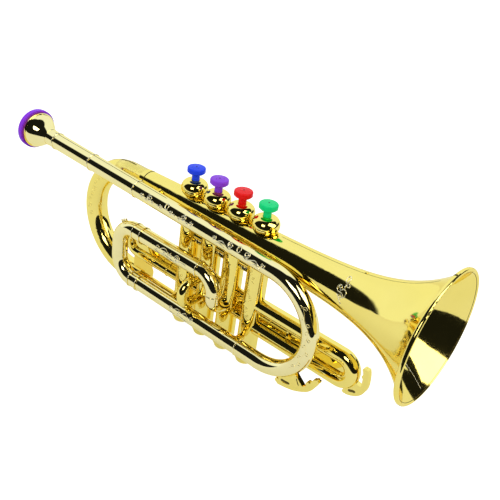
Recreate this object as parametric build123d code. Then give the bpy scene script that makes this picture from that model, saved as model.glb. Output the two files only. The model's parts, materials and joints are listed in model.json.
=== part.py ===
from build123d import *
import os
from math import asin, atan2, cos, degrees, hypot, radians, sin, sqrt

# Toy trumpet with four coloured keys, in millimetres.
# It is drawn with +X toward the bell, +Z toward the keys, z = 0 on the bell's axis, y = 0 on the
# plane of the bell, the keys and the rear crook, and x = 0 at the widest circle of the mouthpiece
# ring. The near pipes lie on the -Y side. Each piece is moved to the final frame when it is written.

# Bell: a tapered tube that flares into the mouth
bell_start_x = 108.0
bell_start_radius = 9.0
bell_taper_gain = 5.4
bell_flare_gain = 30.5
bell_flare_power = 9.2
bell_wall = 1.8
rim_radius = 45.0
rim_width = 3.0
rim_round = 1.3
station_shares = (0.0, 0.2, 0.4, 0.55, 0.66, 0.74, 0.8, 0.85, 0.89, 0.925, 0.955, 0.98, 1.0)

# Keys, valve caps and casings, in one row under and over the bell tube
key_count = 4
key_setback = 50.0
key_pitch = 22.0
key_travel = 5.0
key_rest_gap = 0.3
key_cap_radius = 6.55
key_cap_height = 4.7
key_cap_round = 1.0
key_cap_crown = 0.35
key_dimple_radius = 0.7
key_stem_radius = 2.8
key_spindle_radius = 1.3
key_head_radius = 1.95
key_head_height = 0.6
guide_clearance = 0.15
guide_length = 2.6
cap_top_z = 20.9
cap_shoulder_radius = 9.7
cap_shoulder_z = 13.9
cap_neck_radius = 6.3
cap_wall = 1.4
cap_brim_height = 0.7
cap_dome_reach_share = 0.86
cap_dome_rise_share = 0.72
casing_top_radius = 7.7
casing_foot_radius = 7.8
casing_wall = 1.6
casing_foot_drop = 12.0
bottom_cap_radius = 6.6
bottom_cap_height = 3.5
bottom_cap_round = 1.0
bottom_plug_length = 5.0
plug_clearance = 0.05

# Springs under the key stems
spring_turns = 4
spring_wire_radius = 0.25
spring_mean_radius = 2.1
spring_pocket_radius = 2.9
spring_pocket_depth = 0.8
spring_clearance = 0.05
samples_per_turn = 24

# Reed block inside the bell tube, with a pad under each of its ports
block_floor_z = 0.8
block_height = 4.8
block_rear_reach = 9.0
block_front_reach = 20.0
block_clearance = 0.15
block_skin = 1.2
chamber_half_width = 3.6
chamber_rear_reach = 4.4
chamber_front_reach = 17.6
port_radius = 3.0
pad_radius = 4.2
pad_thickness = 1.6
pad_gap = 0.1
reed_length = 11.5
reed_width = 2.4
reed_thickness = 0.3
reed_start = 5.4
slot_start = 8.0
slot_length = 8.0
slot_width = 1.5

# Rear crook, in two halves, with a ferrule and a thinner pipe to the first casing
crook_centre_x = 93.5
crook_radius = 42.25
crook_tube_radius = 8.7
crook_wall = 1.6
crook_tail_length = 18.5
crook_ferrule_length = 6.0
crook_ferrule_wall = 0.7
crook_ferrule_end = 1.5
crook_pipe_radius = 3.2
crook_brace_width = 8.0
crook_brace_length = 13.4
ferrule_clearance = 0.05

# Near pipes, side by side with the bell
near_gap = 0.83
pipe_wall = 1.4
mouth_axis_z = 6.8
lead_rear_radius = 6.6
lead_front_radius = 5.9
front_bow_setback = 24.6
front_bow_z = -38.3
front_bow_radius = 37.0
front_bow_tube_radius = 5.9
mouth_reach = 66.5
lower_pipe_radius = 5.8
small_bow_setback = 38.3
small_bow_radius = 21.75
small_bow_corner_radius = 16.3
small_bow_tube_radius = 6.1
loop_tube_radius = 6.1
elbow_radius = 14.0
elbow_tube_radius = 5.7
elbow_drop = 0.6
elbow_inward_radius = 12.7
sleeve_length = 8.6
sleeve_wall = 0.3
sleeve_ring_width = 0.6
sleeve_ring_height = 0.45
upper_sleeve_setback = 1.9
bead_radius = 0.5
lead_bead_places = (25.5, 69.2, 120.1)
lower_bead_setback = 18.0

# Mouthpiece
ring_front = -6.8
ring_back = -2.0
ring_radius = 15.9
ring_wall = 1.5
ring_round = 1.6
ring_lip_width = 5.0
ring_lip_depth = 2.3
ring_clearance = 0.05
cup_throat = 16.5
cup_wall = 1.8
cup_flange_width = 2.3
cup_shank_length = 8.0
cup_throat_radius = 2.2
cup_outline_shares = ((0.0, 0.94), (0.2, 0.885), (0.41, 0.753), (0.63, 0.6), (0.815, 0.512), (1.0, 0.47))

# Valve slides, with a thin web between their legs
slide_floor_gap = 6.5
slide_wall = 1.2
web_thickness = 1.4
first_slide_reach = 54.0
first_slide_bend_radius = 8.5
first_slide_tube_radius = 4.3
first_slide_bead_setback = 18.0
second_slide_drop = 2.2
second_slide_gap = 0.75
second_slide_reach = 17.5
second_slide_tube_radius = 3.8
third_slide_reach = 77.5
third_slide_bend_radius = 9.4
third_slide_tube_radius = 5.6
third_slide_rib_setback = 34.5
third_slide_rib_width = 1.6
link_radius = 3.6
link_wall = 1.0
upper_link_z = -21.5
link_web_shares = (1.0, 0.44, 0.0)

# Braces between neighbouring pipes
brace_radius = 2.6
rear_brace_setback = 26.0
front_brace_setback = 12.6

# Moulded water keys
water_key_width = 3.6
water_key_nose_angle = 2.5
front_key_thickness = 4.2
front_key_bump_radius = 1.7
front_key_hole_radius = 1.2
rear_key_thickness = 4.2
rear_key_bump_radius = 1.5
rear_key_hole_radius = 0.8
# Each place is an angle in degrees about a bow's centre, and a share of the bow's outer radius
front_key_line_shares = (
    (-63, 1.085), (-56.5, 1.135), (-50.5, 1.182), (-44, 1.226), (-38, 1.262), (-32, 1.27), (-27.5, 1.257),
)
front_key_web_shares = ((-62, 1.08), (-51, 1.17), (-40, 1.24))
front_key_bump_shares = ((-64.5, 1.055), (-33.8, 1.215), (-25.5, 1.27))
front_key_hole_shares = ((-57.5, 1.07), (-56, 1.083), (-54.5, 1.096))
rear_key_line_shares = (
    (-61, 1.12), (-46, 1.223), (-33, 1.315), (-19, 1.37), (-5, 1.365), (8, 1.355), (20, 1.38), (27, 1.392),
)
rear_key_web_shares = ((-61, 1.11), (-45, 1.22), (-14, 1.34))
rear_key_bump_shares = ((-63.5, 1.12), (12, 1.26), (27, 1.34))
rear_key_hole_shares = ((-46, 1.11), (-42, 1.135), (-38, 1.16))

overrun = 2.0

# Values worked out from the sizes above
key_first_x = bell_start_x + key_setback
key_places = [key_first_x + key_pitch * k for k in range(key_count)]
last_key_x = key_places[key_count - 1]
key_stem_foot_z = cap_top_z - guide_length
key_cap_top = cap_top_z + key_travel + key_rest_gap + key_cap_height
front_bow_x = last_key_x + front_bow_setback
bell_mouth_x = front_bow_x + front_bow_radius + front_bow_tube_radius + mouth_reach
bell_length = bell_mouth_x - bell_start_x
lower_pipe_z = front_bow_z - front_bow_radius
small_bow_x = key_first_x - small_bow_setback
small_bow_z = lower_pipe_z + small_bow_radius
loop_pipe_z = small_bow_z + small_bow_radius
elbow_x = key_places[2] - elbow_radius
crook_pipe_z = -2 * crook_radius
crook_end_x = crook_centre_x + crook_tail_length
casing_foot_z = crook_pipe_z - casing_foot_drop
bottom_z = casing_foot_z - bottom_cap_height
slide_lower_z = crook_pipe_z + crook_tube_radius + slide_floor_gap + first_slide_tube_radius
slide_upper_z = slide_lower_z + 2 * first_slide_bend_radius
first_slide_bend_x = key_first_x - first_slide_reach
third_slide_bend_x = last_key_x + third_slide_reach
second_slide_z = small_bow_z - second_slide_drop
second_slide_room = small_bow_radius - second_slide_drop - lower_pipe_radius
second_slide_bend_radius = second_slide_room - second_slide_tube_radius - second_slide_gap
bow_drop = mouth_axis_z - front_bow_z
bow_distance = hypot(front_bow_x, bow_drop)
lead_tilt = degrees(atan2(bow_drop, front_bow_x) - asin(front_bow_radius / bow_distance))
lead_length = sqrt(bow_distance**2 - front_bow_radius**2)
cup_radius = ring_radius - ring_wall - ring_clearance
tilt_cosine = cos(radians(lead_tilt))
tilt_sine = sin(radians(lead_tilt))
rear_reach = (ring_front + ring_round) * tilt_cosine - (ring_radius - ring_round) * tilt_sine - ring_round


def bell_radius(x):
    """The outer radius of the bell at a place along its axis."""
    share = (x - bell_start_x) / bell_length
    return bell_start_radius + bell_taper_gain * share + bell_flare_gain * share**bell_flare_power


near_y = -(bell_radius(front_bow_x) + front_bow_tube_radius + near_gap)
final_place = Pos(-(rear_reach + bell_mouth_x) / 2, 0, -bottom_z)
lead_place = Pos(0, near_y, mouth_axis_z) * Rot(0, lead_tilt, 0)


def write(name, solid):
    """Write one piece, in the final frame, as its own file."""
    export_step(final_place * solid, os.path.join("parts", name + ".step"))


def bell_bore(x):
    """The inner radius of the bell at a place along its axis."""
    return bell_radius(x) - bell_wall


def pipe(path, radius, bore):
    """A hollow pipe along a path, square at both ends."""
    section = Plane(origin=path @ 0, z_dir=path % 0) * (Circle(radius) - Circle(bore))
    return sweep(section, path=path)


def rod(path, radius):
    """A full rod along a path, used to cut whatever meets a pipe."""
    return sweep(Plane(origin=path @ 0, z_dir=path % 0) * Circle(radius), path=path)


def around(centre_x, centre_z, radius, angle, y=0):
    """A point at an angle about a centre, in an upright plane."""
    return (centre_x + radius * cos(radians(angle)), y, centre_z + radius * sin(radians(angle)))


def bend(centre_x, centre_z, radius, first, last, y=0):
    """An arc in an upright plane, from the first angle to the last."""
    angles = (first, (first + last) / 2, last)
    return ThreePointArc(*[around(centre_x, centre_z, radius, angle, y) for angle in angles])


def turned(outline, axis=Axis.Z):
    """A solid turned from a closed outline about an axis."""
    return revolve(make_face(outline), axis=axis)


def bead(x, y, z, radius):
    """A small raised ring round a pipe that runs along X."""
    return Pos(x, y, z) * Rot(0, 90, 0) * Torus(radius, bead_radius)


def sleeve(start, end, radius):
    """A ferrule that slides over a pipe between two points."""
    bore = radius + ferrule_clearance
    return pipe(Line(start, end), bore + sleeve_wall, bore)


# Bell

def bell_outline(offset, end_x):
    """The points of the bell's wall up to a place on its axis, moved inward by an offset."""
    places = [bell_start_x + (end_x - bell_start_x) * share for share in station_shares]
    return [(x, 0, bell_radius(x) - offset) for x in places]


def bell_half():
    """The near half of the bell: a wall on its long curve, with a thick rim at the mouth."""
    rim_back = bell_mouth_x - rim_width
    outside = bell_outline(0, rim_back)
    inside = bell_outline(bell_wall, bell_mouth_x)
    nick = rim_round * (1 - sqrt(0.5))
    rim_points = [
        (rim_back, 0, rim_radius - rim_round),
        (rim_back + nick, 0, rim_radius - nick),
        (rim_back + rim_round, 0, rim_radius),
        (bell_mouth_x - rim_round, 0, rim_radius),
        (bell_mouth_x - nick, 0, rim_radius - nick),
        (bell_mouth_x, 0, rim_radius - rim_round),
    ]
    wall = make_face(
        [
            Spline(*outside),
            Line(outside[-1], rim_points[0]),
            ThreePointArc(*rim_points[:3]),
            Line(rim_points[2], rim_points[3]),
            ThreePointArc(*rim_points[3:]),
            Line(rim_points[-1], inside[-1]),
            Spline(*inside),
            Line(inside[0], outside[0]),
        ]
    )
    return revolve(wall, axis=Axis.X, revolution_arc=180)


def bell_core():
    """The bell's outer form, filled, over the stretch that the valves and the near pipes meet."""
    outside = bell_outline(0, bell_mouth_x - rim_width)
    end = outside[-1][0]
    return turned(
        [
            Spline(*outside),
            Line(outside[-1], (end, 0, 0)),
            Line((end, 0, 0), (bell_start_x, 0, 0)),
            Line((bell_start_x, 0, 0), outside[0]),
        ],
        Axis.X,
    )


def spring_seat(x):
    """The height of the spring's seat in the bell tube's top."""
    return bell_radius(x) - spring_pocket_depth


def upright(x, radius, low, high, y=0):
    """A full upright cylinder between two heights."""
    return Pos(x, y, low) * Cylinder(radius, high - low, align=(Align.CENTER, Align.CENTER, Align.MIN))


def make_bell():
    near = bell_half()
    for x in key_places:
        near -= upright(x, key_spindle_radius + guide_clearance, 0, cap_top_z)
        near -= upright(x, spring_pocket_radius, spring_seat(x), cap_top_z)
    write("bell_near_half", near)
    write("bell_far_half", mirror(near, about=Plane.XZ))


# Valves

def casing_core(x):
    """A valve casing's outer form, filled, from the bell's axis to its foot."""
    return Pos(x, 0, casing_foot_z) * Cone(
        casing_foot_radius, casing_top_radius, -casing_foot_z, align=(Align.CENTER, Align.CENTER, Align.MIN)
    )


def casing_bore(x):
    """A valve casing's straight bore."""
    return upright(x, casing_foot_radius - casing_wall, casing_foot_z - overrun, 0)


def make_casing(x, core):
    return casing_core(x) - casing_bore(x) - core


def make_bottom_cap(x):
    plug_radius = casing_foot_radius - casing_wall - plug_clearance
    disc = upright(x, bottom_cap_radius, bottom_z, casing_foot_z)
    disc = fillet(disc.edges().group_by(Axis.Z)[0], bottom_cap_round)
    return disc + upright(x, plug_radius, casing_foot_z, casing_foot_z + bottom_plug_length)


def make_valve_cap(x, core):
    """The cap over the bell tube: a neck, a bowl, a brim and a dome with a hole for the stem."""
    hole = key_stem_radius + guide_clearance
    brim_low = cap_shoulder_z - cap_brim_height
    bowl_radius = (cap_neck_radius + cap_shoulder_radius) / 2
    bowl_middle = (bowl_radius, 0, (brim_low + bell_start_radius) / 2 - cap_brim_height)
    dome_height = cap_top_z - cap_shoulder_z
    dome_middle_z = cap_shoulder_z + dome_height * cap_dome_rise_share
    dome_middle = (cap_shoulder_radius * cap_dome_reach_share, 0, dome_middle_z)
    foot = (cap_neck_radius, 0, 0)
    neck = (cap_neck_radius, 0, bell_start_radius)
    brim = (cap_shoulder_radius, 0, brim_low)
    shoulder = (cap_shoulder_radius, 0, cap_shoulder_z)
    top = (hole, 0, cap_top_z)
    outer = turned(
        [
            Line((0, 0, 0), foot),
            Line(foot, neck),
            ThreePointArc(neck, bowl_middle, brim),
            Line(brim, shoulder),
            ThreePointArc(shoulder, dome_middle, top),
            Line(top, (0, 0, cap_top_z)),
            Line((0, 0, cap_top_z), (0, 0, 0)),
        ]
    )
    room = upright(0, cap_neck_radius - cap_wall, 0, cap_top_z - cap_wall * 2)
    room += upright(0, hole, 0, cap_top_z + overrun)
    return Pos(x, 0, 0) * (outer - room) - core


def make_key(x):
    """A key in one piece: the cap, the stem, and the spindle that carries the pad."""
    cap_foot = key_cap_top - key_cap_height
    edge_top = key_cap_top - key_cap_crown
    flat_radius = key_cap_radius - key_cap_round
    low_edge = (key_cap_radius, 0, cap_foot + key_cap_round)
    high_edge = (key_cap_radius, 0, edge_top - key_cap_round)
    nick = key_cap_round * (1 - sqrt(0.5))
    cap = turned(
        [
            Line((0, 0, cap_foot), (flat_radius, 0, cap_foot)),
            Line((flat_radius, 0, cap_foot), low_edge),
            Line(low_edge, high_edge),
            ThreePointArc(
                high_edge,
                (key_cap_radius - nick, 0, edge_top - nick),
                (flat_radius, 0, edge_top),
            ),
            Line((flat_radius, 0, edge_top), (key_dimple_radius, 0, key_cap_top)),
            Line((key_dimple_radius, 0, key_cap_top), (0, 0, key_cap_top - key_dimple_radius)),
            Line((0, 0, key_cap_top - key_dimple_radius), (0, 0, cap_foot)),
        ]
    )
    pad_foot = block_floor_z - pad_gap - pad_thickness
    stem = upright(0, key_stem_radius, key_stem_foot_z, cap_foot)
    spindle = upright(0, key_spindle_radius, pad_foot, key_stem_foot_z)
    head = upright(0, key_head_radius, pad_foot - key_head_height, pad_foot)
    return Pos(x, 0, 0) * (cap + stem + spindle + head)


def make_pad(x):
    top = block_floor_z - pad_gap
    disc = upright(x, pad_radius, top - pad_thickness, top)
    return disc - upright(x, key_spindle_radius + plug_clearance, top - pad_thickness, top)


def spring_path(turns, radius, height):
    """A helix of half turns, each drawn as two arcs that share their tangent."""
    steps = turns * 2
    slope = height / steps
    points = []
    tangents = []
    for step in range(steps + 1):
        side = 1 if step % 2 == 0 else -1
        points.append(Vector(side * radius, 0, slope * step))
        tangents.append(Vector(0, side * radius * radians(180), slope).normalized())
    arcs = []
    for step in range(steps):
        chord = points[step + 1] - points[step]
        both = tangents[step] + tangents[step + 1]
        spread = 2 * (1 - tangents[step].dot(tangents[step + 1]))
        root = sqrt(chord.dot(both) ** 2 + spread * chord.dot(chord))
        reach = (root - chord.dot(both)) / spread
        joint = (points[step] + points[step + 1] + (tangents[step] - tangents[step + 1]) * reach) * 0.5
        first = TangentArc(points[step], joint, tangent=tangents[step])
        arcs.append(first)
        arcs.append(TangentArc(joint, points[step + 1], tangent=first % 1))
    return Wire(arcs)


def least_gap(path, turns, wire):
    """The least distance between neighbouring turns of a wound wire, less its thickness."""
    count = turns * samples_per_turn
    points = [path @ (k / count) for k in range(count + 1)]
    gaps = []
    for k, point in enumerate(points):
        for other in points[k + samples_per_turn // 2:]:
            gaps.append((point - other).length - 2 * wire)
    return min(gaps)


def make_spring(x):
    low = spring_seat(x) + spring_clearance + spring_wire_radius
    high = key_stem_foot_z - spring_clearance - spring_wire_radius
    path = spring_path(spring_turns, spring_mean_radius, high - low)
    gap = least_gap(path, spring_turns, spring_wire_radius)
    print("spring at", x, "least gap to itself", round(gap, 3))
    return Pos(x, 0, low) * rod(path, spring_wire_radius)


# Reed block

def make_reed_block():
    """A long box that fits across the bell tube, with a chamber, a port and a slot for each key."""
    top = block_floor_z + block_height
    rear = key_first_x - block_rear_reach
    front = last_key_x + block_front_reach
    rear_half = sqrt(bell_bore(rear) ** 2 - top**2) - block_clearance
    front_half = sqrt(bell_bore(front) ** 2 - top**2) - block_clearance
    corners = [(rear, -rear_half), (front, -front_half), (front, front_half), (rear, rear_half)]
    face = Pos(0, 0, block_floor_z) * make_face(Polyline(*corners, close=True))
    block = extrude(face, amount=block_height)
    for x in key_places:
        length = chamber_front_reach + chamber_rear_reach
        middle = x + (chamber_front_reach - chamber_rear_reach) / 2
        chamber = Box(length, 2 * chamber_half_width, block_height - 2 * block_skin)
        block -= Pos(middle, 0, block_floor_z + block_height / 2) * chamber
        block -= upright(x, port_radius, block_floor_z - overrun, block_floor_z + block_height / 2)
        block -= upright(x, key_spindle_radius + guide_clearance, block_floor_z, top + overrun)
        slot = Box(slot_length, slot_width, 2 * block_skin)
        block -= Pos(x + slot_start + slot_length / 2, 0, top) * slot
    return block


def make_reed(x):
    top = block_floor_z + block_height
    reed = Box(reed_length, reed_width, reed_thickness, align=(Align.MIN, Align.CENTER, Align.MIN))
    return Pos(x + reed_start, 0, top) * reed


# Rear crook

def make_crook():
    path = bend(crook_centre_x, -crook_radius, crook_radius, 90, 270)
    bore = crook_tube_radius - crook_wall
    crook = pipe(path, crook_tube_radius, bore)
    crook += pipe(Line((crook_centre_x, 0, 0), (bell_start_x, 0, 0)), crook_tube_radius, bore)
    tail = Line((crook_centre_x, 0, crook_pipe_z), (crook_end_x, 0, crook_pipe_z))
    crook += pipe(tail, crook_tube_radius, bore)
    write("crook_near_half", split(crook, bisect_by=Plane.XZ, keep=Keep.TOP))
    write("crook_far_half", split(crook, bisect_by=Plane.XZ, keep=Keep.BOTTOM))


def make_crook_ferrule():
    """A cap over the crook's lower end, with a hole for the thinner pipe."""
    bore = crook_tube_radius + ferrule_clearance
    outer = bore + crook_ferrule_wall
    back = crook_end_x - crook_ferrule_length
    front = crook_end_x + crook_ferrule_end
    shell = pipe(Line((back, 0, crook_pipe_z), (crook_end_x, 0, crook_pipe_z)), outer, bore)
    end = Line((crook_end_x, 0, crook_pipe_z), (front, 0, crook_pipe_z))
    return shell + pipe(end, outer, crook_pipe_radius + ferrule_clearance)


def make_crook_pipe():
    start = (crook_end_x - crook_ferrule_end, 0, crook_pipe_z)
    path = Line(start, (key_first_x, 0, crook_pipe_z))
    return pipe(path, crook_pipe_radius, crook_pipe_radius - link_wall) - casing_core(key_first_x)


def make_crook_brace():
    """A block that holds the first slide on the crook's lower end."""
    low = crook_pipe_z + sqrt(crook_tube_radius**2 - (crook_brace_width / 2) ** 2)
    middle_x = first_slide_bend_x + crook_brace_length / 2
    block = Box(crook_brace_length, crook_brace_width, slide_lower_z - low)
    block = Pos(middle_x, 0, (slide_lower_z + low) / 2) * block
    start = (crook_centre_x, 0, crook_pipe_z)
    tail_front = crook_end_x + crook_ferrule_end
    block -= rod(Line(start, (crook_end_x, 0, crook_pipe_z)), crook_tube_radius)
    ferrule_radius = crook_tube_radius + ferrule_clearance + crook_ferrule_wall
    ferrule_start = (crook_end_x - crook_ferrule_length, 0, crook_pipe_z)
    block -= rod(Line(ferrule_start, (tail_front, 0, crook_pipe_z)), ferrule_radius)
    leg = Line((crook_centre_x, 0, slide_lower_z), (key_first_x, 0, slide_lower_z))
    return block - rod(leg, first_slide_tube_radius)


# Near pipes

def make_leadpipe():
    """A long tapered pipe, drawn on its own axis, with raised rings."""
    rear_bore = lead_rear_radius - pipe_wall
    front_bore = lead_front_radius - pipe_wall
    solid = turned(
        [
            Line((cup_throat, 0, rear_bore), (cup_throat, 0, lead_rear_radius)),
            Line((cup_throat, 0, lead_rear_radius), (lead_length, 0, lead_front_radius)),
            Line((lead_length, 0, lead_front_radius), (lead_length, 0, front_bore)),
            Line((lead_length, 0, front_bore), (cup_throat, 0, rear_bore)),
        ],
        Axis.X,
    )
    for x in lead_bead_places:
        share = (x - cup_throat) / (lead_length - cup_throat)
        radius = lead_rear_radius + (lead_front_radius - lead_rear_radius) * share
        solid += bead(x, 0, 0, radius)
    return lead_place * solid


def front_bow_path():
    return bend(front_bow_x, front_bow_z, front_bow_radius, 90 - lead_tilt, -90, near_y)


def make_lower_pipe():
    path = Line((front_bow_x, near_y, lower_pipe_z), (small_bow_x, near_y, lower_pipe_z))
    solid = pipe(path, lower_pipe_radius, lower_pipe_radius - pipe_wall)
    return solid + bead(front_bow_x - lower_bead_setback, near_y, lower_pipe_z, lower_pipe_radius)


def make_small_bow():
    """A bow with two round corners and a short straight between them."""
    corner = small_bow_corner_radius
    upper = loop_pipe_z - corner
    lower = lower_pipe_z + corner
    back = small_bow_x - corner
    path = Wire(
        [
            bend(small_bow_x, upper, corner, 90, 180, near_y),
            Line((back, near_y, upper), (back, near_y, lower)),
            bend(small_bow_x, lower, corner, 180, 270, near_y),
        ]
    )
    return pipe(path, small_bow_tube_radius, small_bow_tube_radius - pipe_wall)


def make_small_bow_ferrules():
    """A sleeve on each leg of the small bow, with a raised ring at both ends."""
    pieces = []
    upper = (loop_pipe_z, loop_tube_radius, small_bow_x + upper_sleeve_setback)
    lower = (lower_pipe_z, lower_pipe_radius, small_bow_x)
    for z, radius, start_x in (upper, lower):
        end_x = start_x + sleeve_length
        ferrule = sleeve((start_x, near_y, z), (end_x, near_y, z), radius)
        outer = radius + ferrule_clearance + sleeve_wall
        for x in (start_x, end_x - sleeve_ring_width):
            edge = Line((x, near_y, z), (x + sleeve_ring_width, near_y, z))
            ferrule += pipe(edge, outer + sleeve_ring_height, outer)
        pieces.append(ferrule)
    return Compound(pieces)


def make_loop_pipe():
    path = Line((small_bow_x, near_y, loop_pipe_z), (elbow_x, near_y, loop_pipe_z))
    solid = pipe(path, loop_tube_radius, loop_tube_radius - pipe_wall)
    return solid + bead(elbow_x - bead_radius, near_y, loop_pipe_z, loop_tube_radius)


def elbow_path():
    """From the loop pipe down beside the third casing, then inward to it."""
    turn_z = loop_pipe_z - elbow_radius
    leg_x = elbow_x + elbow_radius
    low_z = turn_z - elbow_drop
    inward_y = near_y + elbow_inward_radius
    foot_z = low_z - elbow_inward_radius
    diagonal = elbow_inward_radius * sqrt(0.5)
    middle = (leg_x, inward_y - diagonal, low_z - diagonal)
    return Wire(
        [
            bend(elbow_x, turn_z, elbow_radius, 90, 0, near_y),
            Line((leg_x, near_y, turn_z), (leg_x, near_y, low_z)),
            ThreePointArc((leg_x, near_y, low_z), middle, (leg_x, inward_y, foot_z)),
            Line((leg_x, inward_y, foot_z), (leg_x, 0, foot_z)),
        ]
    )


def make_elbow():
    leg_x = elbow_x + elbow_radius
    bead_z = loop_pipe_z - elbow_radius
    solid = pipe(elbow_path(), elbow_tube_radius, elbow_tube_radius - pipe_wall)
    solid += Pos(leg_x, near_y, bead_z) * Torus(elbow_tube_radius, bead_radius)
    return solid - casing_core(leg_x)


# Mouthpiece

def make_mouthpiece_ring():
    """A soft-edged ring over the cup's rim, with a lip across its face."""
    inner = ring_radius - ring_wall
    lip = inner - ring_lip_width
    shelf = ring_front + ring_lip_depth
    nick = ring_round * (1 - sqrt(0.5))
    outer = turned(
        [
            Line((ring_front, 0, lip), (ring_front, 0, ring_radius - ring_round)),
            ThreePointArc(
                (ring_front, 0, ring_radius - ring_round),
                (ring_front + nick, 0, ring_radius - nick),
                (ring_front + ring_round, 0, ring_radius),
            ),
            Line((ring_front + ring_round, 0, ring_radius), (ring_back, 0, ring_radius)),
            Line((ring_back, 0, ring_radius), (ring_back, 0, inner)),
            Line((ring_back, 0, inner), (shelf, 0, inner)),
            Line((shelf, 0, inner), (shelf, 0, lip)),
            Line((shelf, 0, lip), (ring_front, 0, lip)),
        ],
        Axis.X,
    )
    return lead_place * outer


def make_mouthpiece_cup():
    """A bowl behind the ring that narrows to the leadpipe, with a shank inside it."""
    face = ring_front + ring_lip_depth
    belly_back = ring_back + cup_flange_width
    depth = cup_throat - belly_back
    outside = [(belly_back + depth * along, 0, cup_radius * across) for along, across in cup_outline_shares]
    shank_radius = lead_rear_radius - pipe_wall - plug_clearance - bead_radius
    shank_end = cup_throat + cup_shank_length
    rim = (face, 0, cup_radius)
    flange = (belly_back, 0, cup_radius)
    inner_rim = (face, 0, cup_radius - cup_wall)
    bowl_end = (cup_throat, 0, cup_throat_radius)
    bowl_middle = ((ring_back + cup_throat) / 2, 0, cup_radius / 2 - cup_wall / 2)
    solid = turned(
        [
            Line(inner_rim, rim),
            Line(rim, flange),
            Line(flange, outside[0]),
            Spline(*outside),
            Line(outside[-1], (cup_throat, 0, shank_radius)),
            Line((cup_throat, 0, shank_radius), (shank_end, 0, shank_radius)),
            Line((shank_end, 0, shank_radius), (shank_end, 0, cup_throat_radius)),
            Line((shank_end, 0, cup_throat_radius), bowl_end),
            Spline(bowl_end, bowl_middle, inner_rim),
        ],
        Axis.X,
    )
    return lead_place * solid


# Valve slides

def web(start_x, end_x, upper_z, lower_z):
    """A thin upright plate between two legs."""
    plate = Box(abs(end_x - start_x), web_thickness, upper_z - lower_z)
    return Pos((start_x + end_x) / 2, 0, (upper_z + lower_z) / 2) * plate


def slide(root_x, bend_x, upper_z, bend_radius, tube_radius, side):
    """A U of pipe from a casing, with a web between its legs. The side is 1 toward the bell's mouth."""
    lower_z = upper_z - 2 * bend_radius
    middle_z = upper_z - bend_radius
    path = Wire(
        [
            Line((root_x, 0, upper_z), (bend_x, 0, upper_z)),
            bend(bend_x, middle_z, bend_radius, 90, 90 - 180 * side),
            Line((bend_x, 0, lower_z), (root_x, 0, lower_z)),
        ]
    )
    fill = web(root_x, bend_x, upper_z, lower_z)
    fill += Pos(bend_x, 0, middle_z) * Rot(90, 0, 0) * Cylinder(bend_radius, web_thickness)
    fill -= rod(path, tube_radius - slide_wall / 2)
    return path, pipe(path, tube_radius, tube_radius - slide_wall) + fill


def make_first_slide():
    """A long U from the first casing toward the rear."""
    radius = first_slide_tube_radius
    solid = slide(key_first_x, first_slide_bend_x, slide_upper_z, first_slide_bend_radius, radius, -1)[1]
    solid += bead(key_first_x - first_slide_bead_setback, 0, slide_lower_z, radius)
    return solid - casing_core(key_first_x)


def make_second_slide():
    """A short bow that stands out from the second casing toward the near pipes."""
    x = key_places[1]
    upper_z = second_slide_z + second_slide_bend_radius
    lower_z = second_slide_z - second_slide_bend_radius
    out_y = -second_slide_reach
    path = Wire(
        [
            Line((x, 0, upper_z), (x, out_y, upper_z)),
            ThreePointArc(
                (x, out_y, upper_z),
                (x, out_y - second_slide_bend_radius, second_slide_z),
                (x, out_y, lower_z),
            ),
            Line((x, out_y, lower_z), (x, 0, lower_z)),
        ]
    )
    solid = pipe(path, second_slide_tube_radius, second_slide_tube_radius - slide_wall)
    return solid - casing_core(x)


def make_third_slide():
    """A wide U from the last casing toward the bell's mouth, with a rib between its legs."""
    radius = third_slide_tube_radius
    bend_radius = third_slide_bend_radius
    path, solid = slide(last_key_x, third_slide_bend_x, slide_upper_z, bend_radius, radius, 1)
    rib = Box(third_slide_rib_width, radius, 2 * bend_radius)
    place = Pos(last_key_x + third_slide_rib_setback, 0, slide_upper_z - bend_radius)
    solid += place * rib - rod(path, radius - slide_wall / 2)
    return solid - casing_core(last_key_x)


def link(k, z, radius):
    """A full rod between the axes of two neighbouring casings."""
    return rod(Line((key_places[k], 0, z), (key_places[k + 1], 0, z)), radius)


def make_links(core):
    """Short tubes between neighbouring casings, with thin webs between them."""
    pieces = []
    cores = [casing_core(x) for x in key_places]
    bore = link_radius - link_wall
    for k in range(key_count - 1):
        pair = web(key_places[k], key_places[k + 1], slide_upper_z, slide_lower_z)
        reach = key_pitch * link_web_shares[k]
        if reach:
            pair += web(key_places[k + 1] - reach, key_places[k + 1], 0, crook_pipe_z)
        for z in (upper_link_z, slide_upper_z, slide_lower_z):
            pair += link(k, z, link_radius)
        for z in (upper_link_z, slide_upper_z, slide_lower_z):
            pair -= link(k, z, bore)
        pieces.append(pair - cores[k] - cores[k + 1] - core)
    return Compound(pieces)


# Braces

def lead_axis_z(x):
    """The height of the leadpipe's axis."""
    return mouth_axis_z - x * tilt_sine / tilt_cosine


def make_lead_braces(core):
    """Studs that hold the leadpipe to the bell tube."""
    lead_core = lead_place * turned(
        [
            Line((0, 0, 0), (0, 0, lead_rear_radius)),
            Line((0, 0, lead_rear_radius), (cup_throat, 0, lead_rear_radius)),
            Line((cup_throat, 0, lead_rear_radius), (lead_length, 0, lead_front_radius)),
            Line((lead_length, 0, lead_front_radius), (lead_length, 0, 0)),
            Line((lead_length, 0, 0), (0, 0, 0)),
        ],
        Axis.X,
    )
    pieces = []
    for x in (key_first_x - rear_brace_setback, front_bow_x - front_brace_setback):
        z = lead_axis_z(x)
        stud = rod(Line((x, near_y, z), (x, 0, z)), brace_radius)
        pieces.append(stud - core - lead_core)
    return Compound(pieces)


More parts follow.
